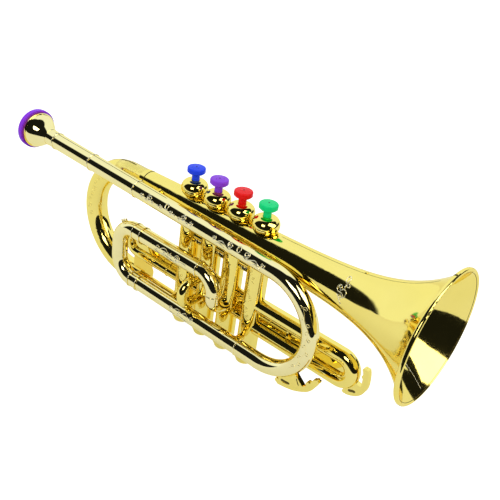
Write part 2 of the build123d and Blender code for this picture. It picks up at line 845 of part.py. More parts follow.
def make_lower_braces():
    """Studs that hold the lower near pipe to the first and last casings."""
    pipe_core = rod(
        Line((front_bow_x, near_y, lower_pipe_z), (small_bow_x, near_y, lower_pipe_z)), lower_pipe_radius
    )
    pieces = []
    for x in (key_first_x, last_key_x):
        stud = rod(Line((x, near_y, lower_pipe_z), (x, 0, lower_pipe_z)), brace_radius)
        pieces.append(stud - casing_core(x) - pipe_core)
    return Compound(pieces)


# Water keys

def make_water_key(centre, outer_radius, y, sizes, line_shares, web_shares, bump_shares, hole_shares, body):
    """A curved lever outside a bow, on a web with a hole in it, and with small round bumps."""
    thickness, bump_radius, hole_radius = sizes
    centre_x, centre_z = centre
    half = thickness / 2
    nose = water_key_nose_angle
    places = [(outer_radius * share, angle) for angle, share in line_shares]
    outside = [around(centre_x, centre_z, reach + half, angle, y) for reach, angle in places]
    inside = [around(centre_x, centre_z, reach - half, angle, y) for reach, angle in places]
    inside.reverse()
    tip = around(centre_x, centre_z, outer_radius * line_shares[-1][1], line_shares[-1][0] + nose, y)
    heel = around(centre_x, centre_z, outer_radius * line_shares[0][1], line_shares[0][0] - nose, y)
    face = make_face(
        [
            Spline(*outside),
            ThreePointArc(outside[-1], tip, inside[0]),
            Spline(*inside),
            ThreePointArc(inside[-1], heel, outside[0]),
        ]
    )
    lever = extrude(face, amount=water_key_width / 2, both=True, dir=(0, 1, 0))
    base = [around(centre_x, centre_z, outer_radius - half / 2, angle, y) for angle, share in web_shares]
    crest = [around(centre_x, centre_z, outer_radius * share, angle, y) for angle, share in web_shares]
    crest.reverse()
    filler = make_face(Polyline(*base, *crest, close=True))
    lever += extrude(filler, amount=water_key_width / 2, both=True, dir=(0, 1, 0))
    for angle, share in hole_shares:
        place = Pos(*around(centre_x, centre_z, outer_radius * share, angle, y))
        lever -= place * Rot(90, 0, 0) * Cylinder(hole_radius, water_key_width + overrun)
    for angle, share in bump_shares:
        place = Pos(*around(centre_x, centre_z, outer_radius * share, angle, y))
        lever += place * Rot(90, 0, 0) * Cylinder(bump_radius, water_key_width)
    return lever - body


def make_front_water_key():
    return make_water_key(
        (front_bow_x, front_bow_z),
        front_bow_radius + front_bow_tube_radius,
        near_y,
        (front_key_thickness, front_key_bump_radius, front_key_hole_radius),
        front_key_line_shares,
        front_key_web_shares,
        front_key_bump_shares,
        front_key_hole_shares,
        rod(front_bow_path(), front_bow_tube_radius),
    )


def make_rear_water_key():
    middle_z = slide_upper_z - third_slide_bend_radius
    return make_water_key(
        (third_slide_bend_x, middle_z),
        third_slide_bend_radius + third_slide_tube_radius,
        0,
        (rear_key_thickness, rear_key_bump_radius, rear_key_hole_radius),
        rear_key_line_shares,
        rear_key_web_shares,
        rear_key_bump_shares,
        rear_key_hole_shares,
        rod(bend(third_slide_bend_x, middle_z, third_slide_bend_radius, 90, -90), third_slide_tube_radius),
    )


os.makedirs("parts", exist_ok=True)
bell_form = bell_core()
make_bell()
for number, key_x in enumerate(key_places, start=1):
    write(f"valve_casing_{number}", make_casing(key_x, bell_form))
    write(f"bottom_cap_{number}", make_bottom_cap(key_x))
    write(f"valve_cap_{number}", make_valve_cap(key_x, bell_form))
    write(f"key_{number}", make_key(key_x))
    write(f"valve_pad_{number}", make_pad(key_x))
    write(f"key_spring_{number}", make_spring(key_x))
    write(f"reed_{number}", make_reed(key_x))
write("reed_block", make_reed_block())
make_crook()
write("crook_ferrule", make_crook_ferrule())
write("crook_lower_pipe", make_crook_pipe())
write("crook_brace", make_crook_brace())
write("leadpipe", make_leadpipe())
write("front_bow", pipe(front_bow_path(), front_bow_tube_radius, front_bow_tube_radius - pipe_wall))
write("lower_pipe", make_lower_pipe())
write("small_rear_bow", make_small_bow())
write("small_bow_ferrules", make_small_bow_ferrules())
write("loop_pipe", make_loop_pipe())
write("loop_elbow", make_elbow())
write("mouthpiece_ring", make_mouthpiece_ring())
write("mouthpiece_cup", make_mouthpiece_cup())
write("first_valve_slide", make_first_slide())
write("second_valve_slide", make_second_slide())
write("third_valve_slide", make_third_slide())
write("valve_links", make_links(bell_form))
write("leadpipe_braces", make_lead_braces(bell_form))
write("lower_pipe_braces", make_lower_braces())
write("front_water_key", make_front_water_key())
write("rear_water_key", make_rear_water_key())
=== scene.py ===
import json
import math

import bmesh
import bpy
from mathutils import Matrix, Vector


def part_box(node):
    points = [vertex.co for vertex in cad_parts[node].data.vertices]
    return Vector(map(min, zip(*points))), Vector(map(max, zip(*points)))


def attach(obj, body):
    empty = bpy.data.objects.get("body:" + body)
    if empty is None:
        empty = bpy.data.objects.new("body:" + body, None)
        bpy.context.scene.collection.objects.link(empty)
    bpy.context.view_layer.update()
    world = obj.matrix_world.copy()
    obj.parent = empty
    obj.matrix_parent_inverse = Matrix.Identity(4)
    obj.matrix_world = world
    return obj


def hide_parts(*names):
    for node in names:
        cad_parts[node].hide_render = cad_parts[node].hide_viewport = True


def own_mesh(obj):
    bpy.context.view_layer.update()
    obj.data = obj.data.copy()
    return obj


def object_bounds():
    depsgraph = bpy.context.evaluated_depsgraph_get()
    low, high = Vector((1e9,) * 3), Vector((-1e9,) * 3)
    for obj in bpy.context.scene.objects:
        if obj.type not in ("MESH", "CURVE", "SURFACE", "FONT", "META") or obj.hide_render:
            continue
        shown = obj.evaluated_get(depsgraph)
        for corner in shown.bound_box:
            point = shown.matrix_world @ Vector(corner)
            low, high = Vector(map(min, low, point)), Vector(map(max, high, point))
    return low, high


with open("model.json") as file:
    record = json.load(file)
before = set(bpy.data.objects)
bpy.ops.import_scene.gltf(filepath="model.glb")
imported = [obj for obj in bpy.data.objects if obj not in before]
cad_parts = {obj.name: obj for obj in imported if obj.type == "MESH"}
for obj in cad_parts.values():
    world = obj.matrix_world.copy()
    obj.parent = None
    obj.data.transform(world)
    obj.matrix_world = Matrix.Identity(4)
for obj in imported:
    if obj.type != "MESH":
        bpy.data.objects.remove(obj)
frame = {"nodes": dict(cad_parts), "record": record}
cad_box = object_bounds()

# Sizes are in millimetres in the drawing frame of the part: x = 0 at the mouthpiece ring's widest
# circle, z = 0 on the bell's axis. place() turns them into metres in the row frame.
MM = 0.001
BELL_MOUTH_X = 358.0
BOTTOM_Z = -100.0
SHIFT_X = cad_box[1][0] / MM - BELL_MOUTH_X
SHIFT_Z = -BOTTOM_Z

ALONG = Vector((1.0, 0.0, 0.0))
NEAR = Vector((0.0, -1.0, 0.0))
UPWARD = Vector((0.0, 0.0, 1.0))


def place(x, y, z):
    """A point of the drawing frame, in metres in the row frame."""
    return Vector(((x + SHIFT_X) * MM, y * MM, (z + SHIFT_Z) * MM))


def turned(first, second, angle):
    """The direction that lies an angle on from the first, toward the second."""
    return first * math.cos(angle) + second * math.sin(angle)


def compass(degrees):
    """A level direction, from its angle about +Z."""
    return turned(ALONG, -NEAR, math.radians(degrees))


# Camera

PHOTO_PIXELS = 500
FOCAL_PIXELS = 699.5
SENSOR_MM = 36.0
CAMERA_PLACE = (460.0, -334.9, 232.0)
CAMERA_RIGHT = (0.75232, 0.64583, 0.13010)
CAMERA_UP = (-0.41576, 0.31223, 0.85420)
CAMERA_FORWARD = (-0.51104, 0.69672, -0.50341)
CLIP_NEAR = 0.01
CLIP_FAR = 50.0


def stand(item, right, up, forward, spot):
    """Puts a camera or a lamp in its place, looking forward."""
    turn = Matrix((right, up, -forward)).transposed().to_4x4()
    turn.translation = spot
    item.matrix_world = turn


def add_camera():
    data = bpy.data.cameras.new("camera")
    data.sensor_width = SENSOR_MM
    data.lens = FOCAL_PIXELS / PHOTO_PIXELS * SENSOR_MM
    data.clip_start = CLIP_NEAR
    data.clip_end = CLIP_FAR
    camera = bpy.data.objects.new("camera", data)
    bpy.context.scene.collection.objects.link(camera)
    stand(camera, Vector(CAMERA_RIGHT), Vector(CAMERA_UP), Vector(CAMERA_FORWARD), place(*CAMERA_PLACE))
    bpy.context.scene.camera = camera


# Node trees

# Most of a noise's values lie between these two.
NOISE_LOW = 0.3
NOISE_HIGH = 0.7


class Nodes:
    """A node tree, with short ways to add a node and join two."""

    def __init__(self, tree):
        self.tree = tree

    def add(self, kind, values=None, **settings):
        """A new node with its settings, then the values of its sockets."""
        node = self.tree.nodes.new(kind)
        for key, value in settings.items():
            setattr(node, key, value)
        for socket, value in (values or {}).items():
            node.inputs[socket].default_value = value
        return node

    def join(self, source, target):
        self.tree.links.new(source, target)

    def spread(self, source, low, high, from_low=NOISE_LOW, from_high=NOISE_HIGH, kind="LINEAR"):
        """Moves values from one range to another."""
        values = {"From Min": from_low, "From Max": from_high, "To Min": low, "To Max": high}
        node = self.add("ShaderNodeMapRange", values, interpolation_type=kind)
        self.join(source, node.inputs["Value"])
        return node.outputs["Result"]

    def blend(self, factor, first, second):
        """A colour between two."""
        node = self.add("ShaderNodeMix", data_type="RGBA")
        node.inputs["A"].default_value = (*first, 1)
        node.inputs["B"].default_value = (*second, 1)
        self.join(factor, node.inputs["Factor"])
        return node.outputs["Result"]

    def combine(self, operation, first, second):
        """The result of a Math node for two values."""
        node = self.add("ShaderNodeMath", operation=operation)
        self.join(first, node.inputs[0])
        self.join(second, node.inputs[1])
        return node.outputs[0]


class Shader(Nodes):
    """A material's node tree."""

    def __init__(self, name):
        self.material = bpy.data.materials.new(name)
        self.material.use_nodes = True
        super().__init__(self.material.node_tree)
        self.principled = self.tree.nodes["Principled BSDF"]
        self.surface = self.tree.nodes["Material Output"].inputs["Surface"]

    def set(self, **values):
        for key, value in values.items():
            self.principled.inputs[key.replace("_", " ")].default_value = value

    def where(self):
        return self.add("ShaderNodeTexCoord").outputs["Object"]

    def noise(self, scale, detail):
        node = self.add("ShaderNodeTexNoise", {"Scale": scale, "Detail": detail})
        self.join(self.where(), node.inputs["Vector"])
        return node.outputs["Fac"]

    def bump(self, height, strength, distance):
        """Adds a bump on top of those that the material has."""
        node = self.add("ShaderNodeBump", {"Strength": strength, "Distance": distance})
        self.join(height, node.inputs["Height"])
        normal = self.principled.inputs["Normal"]
        if normal.links:
            self.join(normal.links[0].from_socket, node.inputs["Normal"])
        self.join(node.outputs["Normal"], normal)


# Materials. A noise is its scale and its detail.

GOLD_LIGHT = (0.97, 0.785, 0.21)
GOLD_DEEP = (0.95, 0.76, 0.18)
GOLD_EDGE = (1.0, 0.93, 0.62)
# Edge colour of the shaded copy of the gold: painted shade on the inner parts.
SHADED_INNER_EDGE = (1.0, 0.88, 0.45)
GOLD_TONE_NOISE = (28.0, 3.0)
GOLD_GLOSS_NOISE = (160.0, 4.0)
GOLD_SWELL_NOISE = (95.0, 1.0)
GOLD_SWELL_STRENGTH = 0.08
GOLD_SWELL_HEIGHT = 0.0004

PLASTIC_TONE_NOISE = (70.0, 3.0)
PLASTIC_GLOSS_NOISE = (400.0, 4.0)
PLASTIC_SKIN_NOISE = (900.0, 3.0)
PLASTIC_SKIN_STRENGTH = 0.15
PLASTIC_SKIN_HEIGHT = 0.00006
PLASTIC_IOR = 1.5
PLASTIC_SPECULAR = 0.14
PLASTIC_GLOSSIER = -0.05
PLASTIC_DULLER = 0.06

RING_CELL_SCALE = 130.0
RING_INNER = 0.2
RING_OUTER = 0.33
RING_SOFTNESS = 0.05
RING_STRENGTH = 0.6
RING_HEIGHT = 0.00005

LEAN_X = (80.0, 114.0)
LEAN_Z = (-14.0, -12.0)
LEAN_HEIGHT = 0.0145


def gold_shader(name, light, deep, rough_low, rough_high, edge=GOLD_EDGE):
    """Metallised plastic: a mirror with a faint swell and slightly uneven gold."""
    shader = Shader(name)
    tone = shader.spread(shader.noise(*GOLD_TONE_NOISE), 0.0, 1.0)
    shader.join(shader.blend(tone, light, deep), shader.principled.inputs["Base Color"])
    shader.set(Metallic=1.0, Specular_Tint=(*edge, 1))
    rough = shader.spread(shader.noise(*GOLD_GLOSS_NOISE), rough_low, rough_high)
    shader.join(rough, shader.principled.inputs["Roughness"])
    shader.bump(shader.noise(*GOLD_SWELL_NOISE), GOLD_SWELL_STRENGTH, GOLD_SWELL_HEIGHT)
    return shader


def emboss(shader):
    """Adds a skin of small raised rings."""
    cells = shader.add("ShaderNodeTexVoronoi", {"Scale": RING_CELL_SCALE}, feature="F1")
    shader.join(shader.where(), cells.inputs["Vector"])
    reach = cells.outputs["Distance"]
    outer = shader.spread(reach, 1.0, 0.0, RING_OUTER - RING_SOFTNESS, RING_OUTER + RING_SOFTNESS)
    inner = shader.spread(reach, 0.0, 1.0, RING_INNER - RING_SOFTNESS, RING_INNER + RING_SOFTNESS)
    shader.bump(shader.combine("MULTIPLY", outer, inner), RING_STRENGTH, RING_HEIGHT)


def lean_to_joint(shader):
    """Leans the crook's upper end back toward its bend, where it is drawn in to the bell."""
    split = shader.add("ShaderNodeSeparateXYZ")
    shader.join(shader.where(), split.inputs["Vector"])
    from_x, to_x = (place(x, 0, 0).x for x in LEAN_X)
    from_z, to_z = (place(0, 0, z).z for z in LEAN_Z)
    ramp = shader.spread(split.outputs["X"], 0.0, LEAN_HEIGHT, from_x, to_x)
    upper = shader.spread(split.outputs["Z"], 0.0, 1.0, from_z, to_z)
    shader.bump(shader.combine("MULTIPLY", ramp, upper), 1.0, 1.0)


def gold_material(*settings):
    return gold_shader(*settings).material


def crook_material(*settings):
    shader = gold_shader(*settings)
    emboss(shader)
    lean_to_joint(shader)
    return shader.material


def plastic_material(name, light, deep, roughness):
    """Moulded coloured plastic with a soft sheen and a fine moulded skin."""
    shader = Shader(name)
    tone = shader.spread(shader.noise(*PLASTIC_TONE_NOISE), 0.0, 1.0)
    shader.join(shader.blend(tone, light, deep), shader.principled.inputs["Base Color"])
    gloss = shader.noise(*PLASTIC_GLOSS_NOISE)
    rough = shader.spread(gloss, roughness + PLASTIC_GLOSSIER, roughness + PLASTIC_DULLER)
    shader.join(rough, shader.principled.inputs["Roughness"])
    shader.set(IOR=PLASTIC_IOR, Specular_IOR_Level=PLASTIC_SPECULAR)
    shader.bump(shader.noise(*PLASTIC_SKIN_NOISE), PLASTIC_SKIN_STRENGTH, PLASTIC_SKIN_HEIGHT)
    return shader.material


# Gold: name, light and deep colour, least and most roughness, and the colour of its edges where that
# differs. Plastic: name, light and deep colour, and roughness.
MATERIALS = {
    "gold": gold_material("gold_metallised", GOLD_LIGHT, GOLD_DEEP, 0.03, 0.06),
    # A lit copy of the gold: paler, as painted light for the bright reflections on the near pipes.
    "lit_pale_gold": gold_material("pale_gold_metallised", (0.96, 0.83, 0.41), (0.94, 0.81, 0.35), 0.03, 0.06),
    "key_blue": plastic_material("blue_plastic", (0.02, 0.08, 0.98), (0.015, 0.06, 0.9), 0.3),
    "key_purple": plastic_material("purple_plastic", (0.33, 0.06, 0.85), (0.28, 0.05, 0.76), 0.3),
    "key_red": plastic_material("red_plastic", (1.0, 0.008, 0.006), (0.92, 0.006, 0.005), 0.3),
    "key_green": plastic_material("green_plastic", (0.002, 0.84, 0.26), (0.002, 0.76, 0.22), 0.3),
    "ring_purple": plastic_material("ring_purple_plastic", (0.34, 0.04, 0.9), (0.28, 0.03, 0.82), 0.35),
    "pad_rubber": plastic_material("black_rubber", (0.03, 0.03, 0.03), (0.05, 0.05, 0.05), 0.6),
    "block_plastic": plastic_material("white_plastic", (0.8, 0.8, 0.76), (0.7, 0.7, 0.66), 0.5),
    "reed_brass": gold_material("reed_strip", (0.7, 0.5, 0.2), (0.6, 0.42, 0.16), 0.2, 0.35),
    # Paler than the gold: painted highlight on the raised scrolls, lines and ring crests.
    "relief": gold_material("relief_sheen", (1.0, 0.93, 0.66), (0.97, 0.9, 0.6), 0.22, 0.34),
    # Dark gold lines: painted shade along seams, joints, slots and the bell's lip.
    "seam": gold_material("seam_shade", (0.16, 0.12, 0.03), (0.1, 0.075, 0.02), 0.3, 0.45),
    "spring_steel": gold_material("spring_wire", (0.6, 0.6, 0.6), (0.5, 0.5, 0.5), 0.2, 0.35),
    "crook": crook_material("crook_gold", GOLD_LIGHT, GOLD_DEEP, 0.05, 0.09),
    # A shaded copy of the gold: deeper and more orange, as painted shade and bounced light on the parts
    # between other parts.
    "shaded_inner_gold": gold_material("shaded_inner_gold", (0.95, 0.7, 0.14), (0.92, 0.64, 0.1), 0.04, 0.07, SHADED_INNER_EDGE),
    "bell": gold_material("bell_gold", GOLD_LIGHT, GOLD_DEEP, 0.06, 0.1),
}

# The nodes whose look isn't their slot's own. The rest take the material named as their slot.
DRESSED_NODES = {
    "crook": ("crook_near_half", "crook_far_half"),
    "bell": ("bell_near_half", "bell_far_half"),
    # The parts between others take the shaded copy of the gold: painted shade.
    "shaded_inner_gold": (
        "crook_ferrule", "crook_brace", "crook_lower_pipe", "valve_links", "lower_pipe_braces",
        "leadpipe_braces",
    ),
    # The near pipes take the lit copy of the gold: painted light.
    "lit_pale_gold": (
        "leadpipe", "front_bow", "lower_pipe", "small_rear_bow", "small_bow_ferrules", "loop_pipe",
        "loop_elbow", "mouthpiece_cup",
    ),
}


def dress_nodes():
    dressed = {name: key for key, names in DRESSED_NODES.items() for name in names}
    slots = {row["node"]: row["material_slot"] for row in frame["record"]["subparts"]}
    for name, node in frame["nodes"].items():
        node.data.materials.clear()
        node.data.materials.append(MATERIALS[dressed.get(name, slots[name])])


# Surfaces. at(along, around) gives a point of the skin and its normal there.

PIPE_Y = -18.92


class Pipe:
    """A straight pipe. along is measured from its start, around goes round it from its near side."""

    def __init__(self, start, end, start_radius, end_radius):
        self.start = Vector(start)
        self.length = (Vector(end) - self.start).length
        self.way = (Vector(end) - self.start) / self.length
        self.side = NEAR.cross(self.way)
        self.radii = (start_radius, end_radius)

    def at(self, along, around):
        share = along / self.length
        radius = self.radii[0] + (self.radii[1] - self.radii[0]) * share
        normal = turned(NEAR, self.side, around / radius)
        return self.start + self.way * along + normal * radius, normal


class Bow:
    """A bent pipe in a plane of constant y. along is measured on its centre line, up from +X."""

    def __init__(self, centre, bend_radius, radius):
        self.centre = Vector(centre)
        self.bend_radius = bend_radius
        self.radius = radius

    def at(self, along, around):
        outward = turned(ALONG, UPWARD, along / self.bend_radius)
        normal = turned(NEAR, outward, around / self.radius)
        return self.centre + outward * self.bend_radius + normal * self.radius, normal


class Bell:
    """The bell's skin. along is x, around goes round the axis from the near side."""

    start_x = 108.0
    length = 250.0
    start_radius = 9.0
    taper = 5.4
    flare = 30.5
    flare_power = 9.2

    def radius_at(self, along):
        share = (along - self.start_x) / self.length
        return self.start_radius + self.taper * share + self.flare * share ** self.flare_power

    def at(self, along, around):
        share = (along - self.start_x) / self.length
        radius = self.radius_at(along)
        slope = (self.taper + self.flare * self.flare_power * share ** (self.flare_power - 1)) / self.length
        out = turned(NEAR, UPWARD, around / radius)
        return ALONG * along + out * radius, (out - ALONG * slope).normalized()


class BellInside(Bell):
    """The bell's inner skin, its normals turned inward."""

    wall = 1.8
    start_radius = Bell.start_radius - wall

    def at(self, along, around):
        spot, normal = super().at(along, around)
        return spot, -normal


class Rim:
    """The rim's outer skin. along goes across its section from the rear and around goes round the
    axis from the near side, both in degrees."""

    middle_x = 356.5
    ring_radius = 43.7
    half_depth = 1.5
    half_width = 1.3

    def at(self, along, around):
        out = turned(NEAR, UPWARD, math.radians(around))
        turn = math.radians(along)
        back = self.middle_x - self.half_depth * math.cos(turn)
        reach = self.ring_radius + self.half_width * math.sin(turn)
        return ALONG * back + out * reach, turned(-ALONG, out, turn)


class Plate:
    """A curved plate between two casings. along is x, around is measured up its arc from its foot."""

    radius = 6.5
    foot_turn = math.radians(8.0)
    head_turn = math.radians(50.0)
    foot_y = -4.4
    foot_z = -24.9

    def at(self, along, around):
        normal = turned(NEAR, UPWARD, self.foot_turn + around / self.radius)
        swing = (normal - turned(NEAR, UPWARD, self.foot_turn)) * self.radius
        return Vector((along, self.foot_y, self.foot_z)) + swing, normal


class KeySide:
    """The flat near side of a water key, at a constant y. along is x, around is z."""

    def __init__(self, y):
        self.y = y

    def at(self, along, around):
        return Vector((along, self.y, around)), NEAR


class KeyDimple:
    """The level low in the key caps' dimples from which their painted shade nubs stand. along is x, around is
    y.
    """

    height = 30.45

    def at(self, along, around):
        return Vector((along, around, self.height)), UPWARD


LEADPIPE_DROP = math.tan(math.radians(1.863))
LEADPIPE_LENGTH = 249.94
LEADPIPE_START_Z = 6.8
LEADPIPE_END_Z = LEADPIPE_START_Z - LEADPIPE_LENGTH * LEADPIPE_DROP
LEADPIPE_RADII = (6.65, 5.9)
LEADPIPE = Pipe((0.0, PIPE_Y, LEADPIPE_START_Z), (LEADPIPE_LENGTH, PIPE_Y, LEADPIPE_END_Z), *LEADPIPE_RADII)

LOOP_RADIUS = 6.1
LOWER_RADIUS = 5.8
SLEEVE_RADIUS = 6.75
LOOP_ENDS = ((100.0, PIPE_Y, -31.8), (188.0, PIPE_Y, -31.8))
LOWER_ENDS = ((100.0, PIPE_Y, -75.3), (248.0, PIPE_Y, -75.3))
LOOP_PIPE = Pipe(*LOOP_ENDS, LOOP_RADIUS, LOOP_RADIUS)
LOOP_SLEEVE = Pipe(*LOOP_ENDS, SLEEVE_RADIUS, SLEEVE_RADIUS)
LOWER_PIPE = Pipe(*LOWER_ENDS, LOWER_RADIUS, LOWER_RADIUS)
LOWER_SLEEVE = Pipe(*LOWER_ENDS, SLEEVE_RADIUS, SLEEVE_RADIUS)

FRONT_BOW = Bow((248.6, PIPE_Y, -38.3), bend_radius=37.0, radius=5.9)
SMALL_BOW = Bow((119.7, PIPE_Y, -48.1), bend_radius=16.3, radius=6.1)
CROOK = Bow((93.5, 0.0, -42.25), bend_radius=42.25, radius=8.7)
BELL = Bell()
BELL_INSIDE = BellInside()
PLATE = Plate()
WATER_KEY_HALF = 1.8
FRONT_WATER_KEY = KeySide(PIPE_Y - WATER_KEY_HALF)
REAR_WATER_KEY = KeySide(-WATER_KEY_HALF)

KEY_COUNT = 4
KEY_PITCH = 22.0
FIRST_KEY_X = 158.0
KEY_PLACES = [FIRST_KEY_X + KEY_PITCH * number for number in range(KEY_COUNT)]
CASING_TOP_Z = -8.0
CASING_FOOT_Z = -96.0
CASING_RADII = (7.7, 7.8)
CASINGS = [Pipe((x, 0.0, CASING_TOP_Z), (x, 0.0, CASING_FOOT_Z), *CASING_RADII) for x in KEY_PLACES]


# Lines on a surface. Each is its points and whether it is closed.

LINE_STEPS = 5
OVAL_STEPS = 12
SCROLL_STEPS = 9
SCROLL_CORE = 0.25


def spline(t, a, b, c, d):
    """A Catmull-Rom curve's value at a share t of the way from b to c."""
    square = 2 * a - 5 * b + 4 * c - d
    cube = 3 * b - a - 3 * c + d
    return 0.5 * (2 * b + (c - a) * t + square * t * t + cube * t ** 3)


def smooth_line(points, closed):
    """A rounded line through the points, in surface coordinates."""
    count = len(points)
    line = []
    for span in range(count if closed else count - 1):
        if closed:
            four = [points[(span + offset) % count] for offset in (-1, 0, 1, 2)]
        else:
            four = [points[min(max(span + offset, 0), count - 1)] for offset in (-1, 0, 1, 2)]
        for step in range(LINE_STEPS):
            line.append(tuple(spline(step / LINE_STEPS, *values) for values in zip(*four)))
    if not closed:
        line.append(points[-1])
    return line


def stroke(*points):
    return list(points), False


def oval(along, around, half_along, half_around):
    turns = [math.tau * step / OVAL_STEPS for step in range(OVAL_STEPS)]
    return [(along + half_along * math.cos(a), around + half_around * math.sin(a)) for a in turns], True


def scroll(along, around, radius, hand, start, turns):
    """A spiral that winds in from its outer end, which lies at a start angle in degrees."""
    count = int(turns * SCROLL_STEPS) + 1
    points = []
    for step in range(count):
        share = step / (count - 1)
        angle = math.radians(start) + hand * math.tau * turns * share
        reach = radius * (1 - (1 - SCROLL_CORE) * share)
        points.append((along + reach * math.cos(angle), around + reach * math.sin(angle)))
    return points, False


def both_sides(middle, lines):
    """The lines and their mirror images about a middle."""
    mirrored = []
    for points, closed in lines:
        mirrored.append(([(2 * middle - along, around) for along, around in points], closed))
    return lines + mirrored


def leadpipe_lines():
    """Two groups of scrolls, each about an oval."""
    front = 223.0
    rear = 155.4
    lines = [oval(front, 4.1, 1.45, 2.2), oval(rear, 3.9, 1.35, 2.2)]
    lines += both_sides(front, [
        scroll(front - 7.2, 3.6, 2.3, 1, 100.0, 1.5),
        scroll(front - 21.3, 2.4, 1.7, -1, 60.0, 1.3),
        stroke((front - 4.6, 1.4), (front - 7.5, 0.4), (front - 11.0, 1.6), (front - 14.5, 2.8),
               (front - 18.5, 0.9)),
        stroke((front - 11.5, -1.2), (front - 15.5, 0.6), (front - 20.0, -0.8)),
    ])
    lines += both_sides(rear, [
        scroll(rear - 4.9, 1.6, 1.6, 1, 120.0, 1.3),
        scroll(rear - 16.8, 3.0, 2.4, 1, 80.0, 1.6),
        scroll(rear - 13.6, 1.2, 1.3, -1, 30.0, 1.1),
        scroll(rear - 25.0, 1.9, 1.7, -1, 60.0, 1.3),
        stroke((rear - 6.4, 0.4), (rear - 8.2, 1.5), (rear - 10.2, 0.3)),
        stroke((rear - 18.5, -0.4), (rear - 20.5, 0.8), (rear - 22.5, -0.2)),
    ])
    return lines


def loop_lines():
    return [
        oval(50.0, 2.0, 1.3, 1.4),
        stroke((52.2, 0.2), (53.4, 2.6), (56.8, 3.9), (60.0, 2.7), (61.3, 0.4)),
        scroll(57.0, 1.2, 1.5, 1, 200.0, 1.1),
        scroll(63.8, 1.5, 1.5, 1, 90.0, 1.2),
        oval(70.0, 1.9, 2.3, 2.1),
        scroll(70.0, 1.9, 1.1, 1, 0.0, 1.0),
        stroke((47.0, -0.4), (51.5, -1.6), (58.0, -0.6), (66.0, -1.8), (74.5, 0.8), (79.5, 0.6)),
    ]


def lower_lines():
    return [
        scroll(68.3, 2.0, 1.7, 1, 150.0, 1.3),
        stroke((70.5, 1.2), (73.0, 3.2), (76.0, 3.6), (78.5, 2.2)),
        oval(76.2, 1.6, 1.1, 1.0),
        stroke((79.0, 1.8), (82.3, 3.9), (85.8, 2.2)),
        scroll(88.5, 2.9, 1.7, -1, 30.0, 1.3),
        stroke((66.5, -1.2), (71.5, -2.4), (78.0, -1.0), (85.0, -2.0), (91.0, 0.8)),
    ]


def bow_lines():
    """A wavy stem down the front bow with a leaf on each side by turns."""
    top, pitch, drift, sway = 29.0, 2.5, 0.12, 0.7
    leaf = ((0.0, 0.0), (-0.2, 1.7), (-1.7, 2.3), (-1.9, 1.2))
    stem = []
    for step in range(22):
        stem.append((top - pitch * step, 2.6 - drift * step + sway * math.sin(step * 1.1)))
    lines = [stroke(*stem)]
    for number in range(1, 20, 2):
        along, around = stem[number]
        hand = 1 if number % 4 == 1 else -1
        lines.append(([(along + x, around + y * hand) for x, y in leaf], True))
    return lines


def crook_lines():
    """Double rings and scrolls down the crook's rear."""
    top, pitch = 76.0, 6.3
    lines = []
    for number in range(11):
        along = top + pitch * number
        around = 1.2 * math.sin(number * 1.7) - 1.6
        hand = 1 if number % 2 else -1
        if number % 3 == 0:
            lines += [oval(along, around, 2.1, 2.1), oval(along, around, 0.8, 0.8)]
        else:
            lines.append(scroll(along, around, 1.9, hand, 40.0 * number, 1.4))
    return lines


def casing_lines():
    """Curls with tails down a casing's near side."""
    top, pitch, sway = 11.5, 5.2, 2.3
    tail = ((1.6, -1.4), (2.8, 0.0), (3.9, 1.3))
    lines = []
    for number in range(11):
        along = top + pitch * number
        around = sway * math.sin(number * 2.1)
        hand = 1 if number % 2 else -1
        lines.append(scroll(along, around, 1.25, hand, 90.0 * number, 1.2))
        lines.append(stroke(*((along + x, around + y * hand) for x, y in tail)))
    return lines


def clef_lines():
    """The treble clef on the bell."""
    return [
        stroke((295.6, 8.5), (294.9, 7.8), (293.9, 8.3), (294.2, 9.5), (295.3, 9.6), (296.0, 8.5),
               (295.4, 6.5)),
        stroke((294.3, 9.7), (293.2, 8.2), (293.4, 6.3), (294.7, 5.4), (296.4, 5.5), (297.9, 5.1),
               (298.8, 4.3)),
        stroke((296.3, 6.2), (296.5, 7.1), (297.5, 8.1), (299.1, 8.0), (300.2, 6.9), (300.3, 5.3),
               (299.6, 3.6), (297.9, 3.8), (296.5, 4.5)),
        stroke((297.7, 8.1), (297.8, 10.5), (298.0, 12.4), (298.3, 14.4), (298.2, 16.2), (296.9, 17.2),
               (296.0, 16.0), (296.0, 14.2), (296.5, 12.9), (297.7, 12.3)),
        stroke((298.3, 11.3), (299.1, 10.5), (300.1, 10.6), (300.4, 11.6), (299.7, 12.4), (298.7, 12.2)),
        stroke((298.8, 4.3), (297.9, 2.2), (296.3, 2.9), (294.4, 3.5), (296.0, 1.9), (297.4, 0.3),
               (298.6, -1.0), (297.7, -2.4)),
    ]


SEAM_STEPS = 30
LIP_X = 357.3
LIP_STEPS = 96
JOINT_X = 112.6
JOINT_RADIUS = 9.1
LEADPIPE_SEAM_RADIUS = 6.25
RING_STEPS = 20
RING_FROM = -40.0
RING_TO = 120.0


def seam_line(low, high, around):
    """A straight line along a surface."""
    places = (low + (high - low) * step / SEAM_STEPS for step in range(SEAM_STEPS + 1))
    return stroke(*((along, around) for along in places))


def bell_line(surface, places, degrees):
    """A line along the bell's skin, at an angle round its axis from the near side."""
    return stroke(*((along, surface.radius_at(along) * math.radians(degrees)) for along in places))


def ring_lines(radius, *places):
    """Rings across a pipe's near side, at places along it."""
    span = RING_TO - RING_FROM
    turns = [math.radians(RING_FROM + span * step / RING_STEPS) for step in range(RING_STEPS + 1)]
    return [stroke(*((along, radius * turn) for turn in turns)) for along in places]


# Meshes

BEAD_SIDES = 6
BEAD_SINK = 0.12
BEAD_TIP = 0.35
BEAD_GROWTH = 0.3
NUB_SIDES = 12
# The reach of a nub's rings and their rise, as shares of its radius and height.
NUB_RINGS = ((1.0, -0.3), (1.0, 0.5), (0.85, 0.82), (0.5, 1.0))


def circle(centre, first, second, radius, sides):
    turns = [math.tau * step / sides for step in range(sides)]
    return [centre + turned(first, second, turn) * radius for turn in turns]


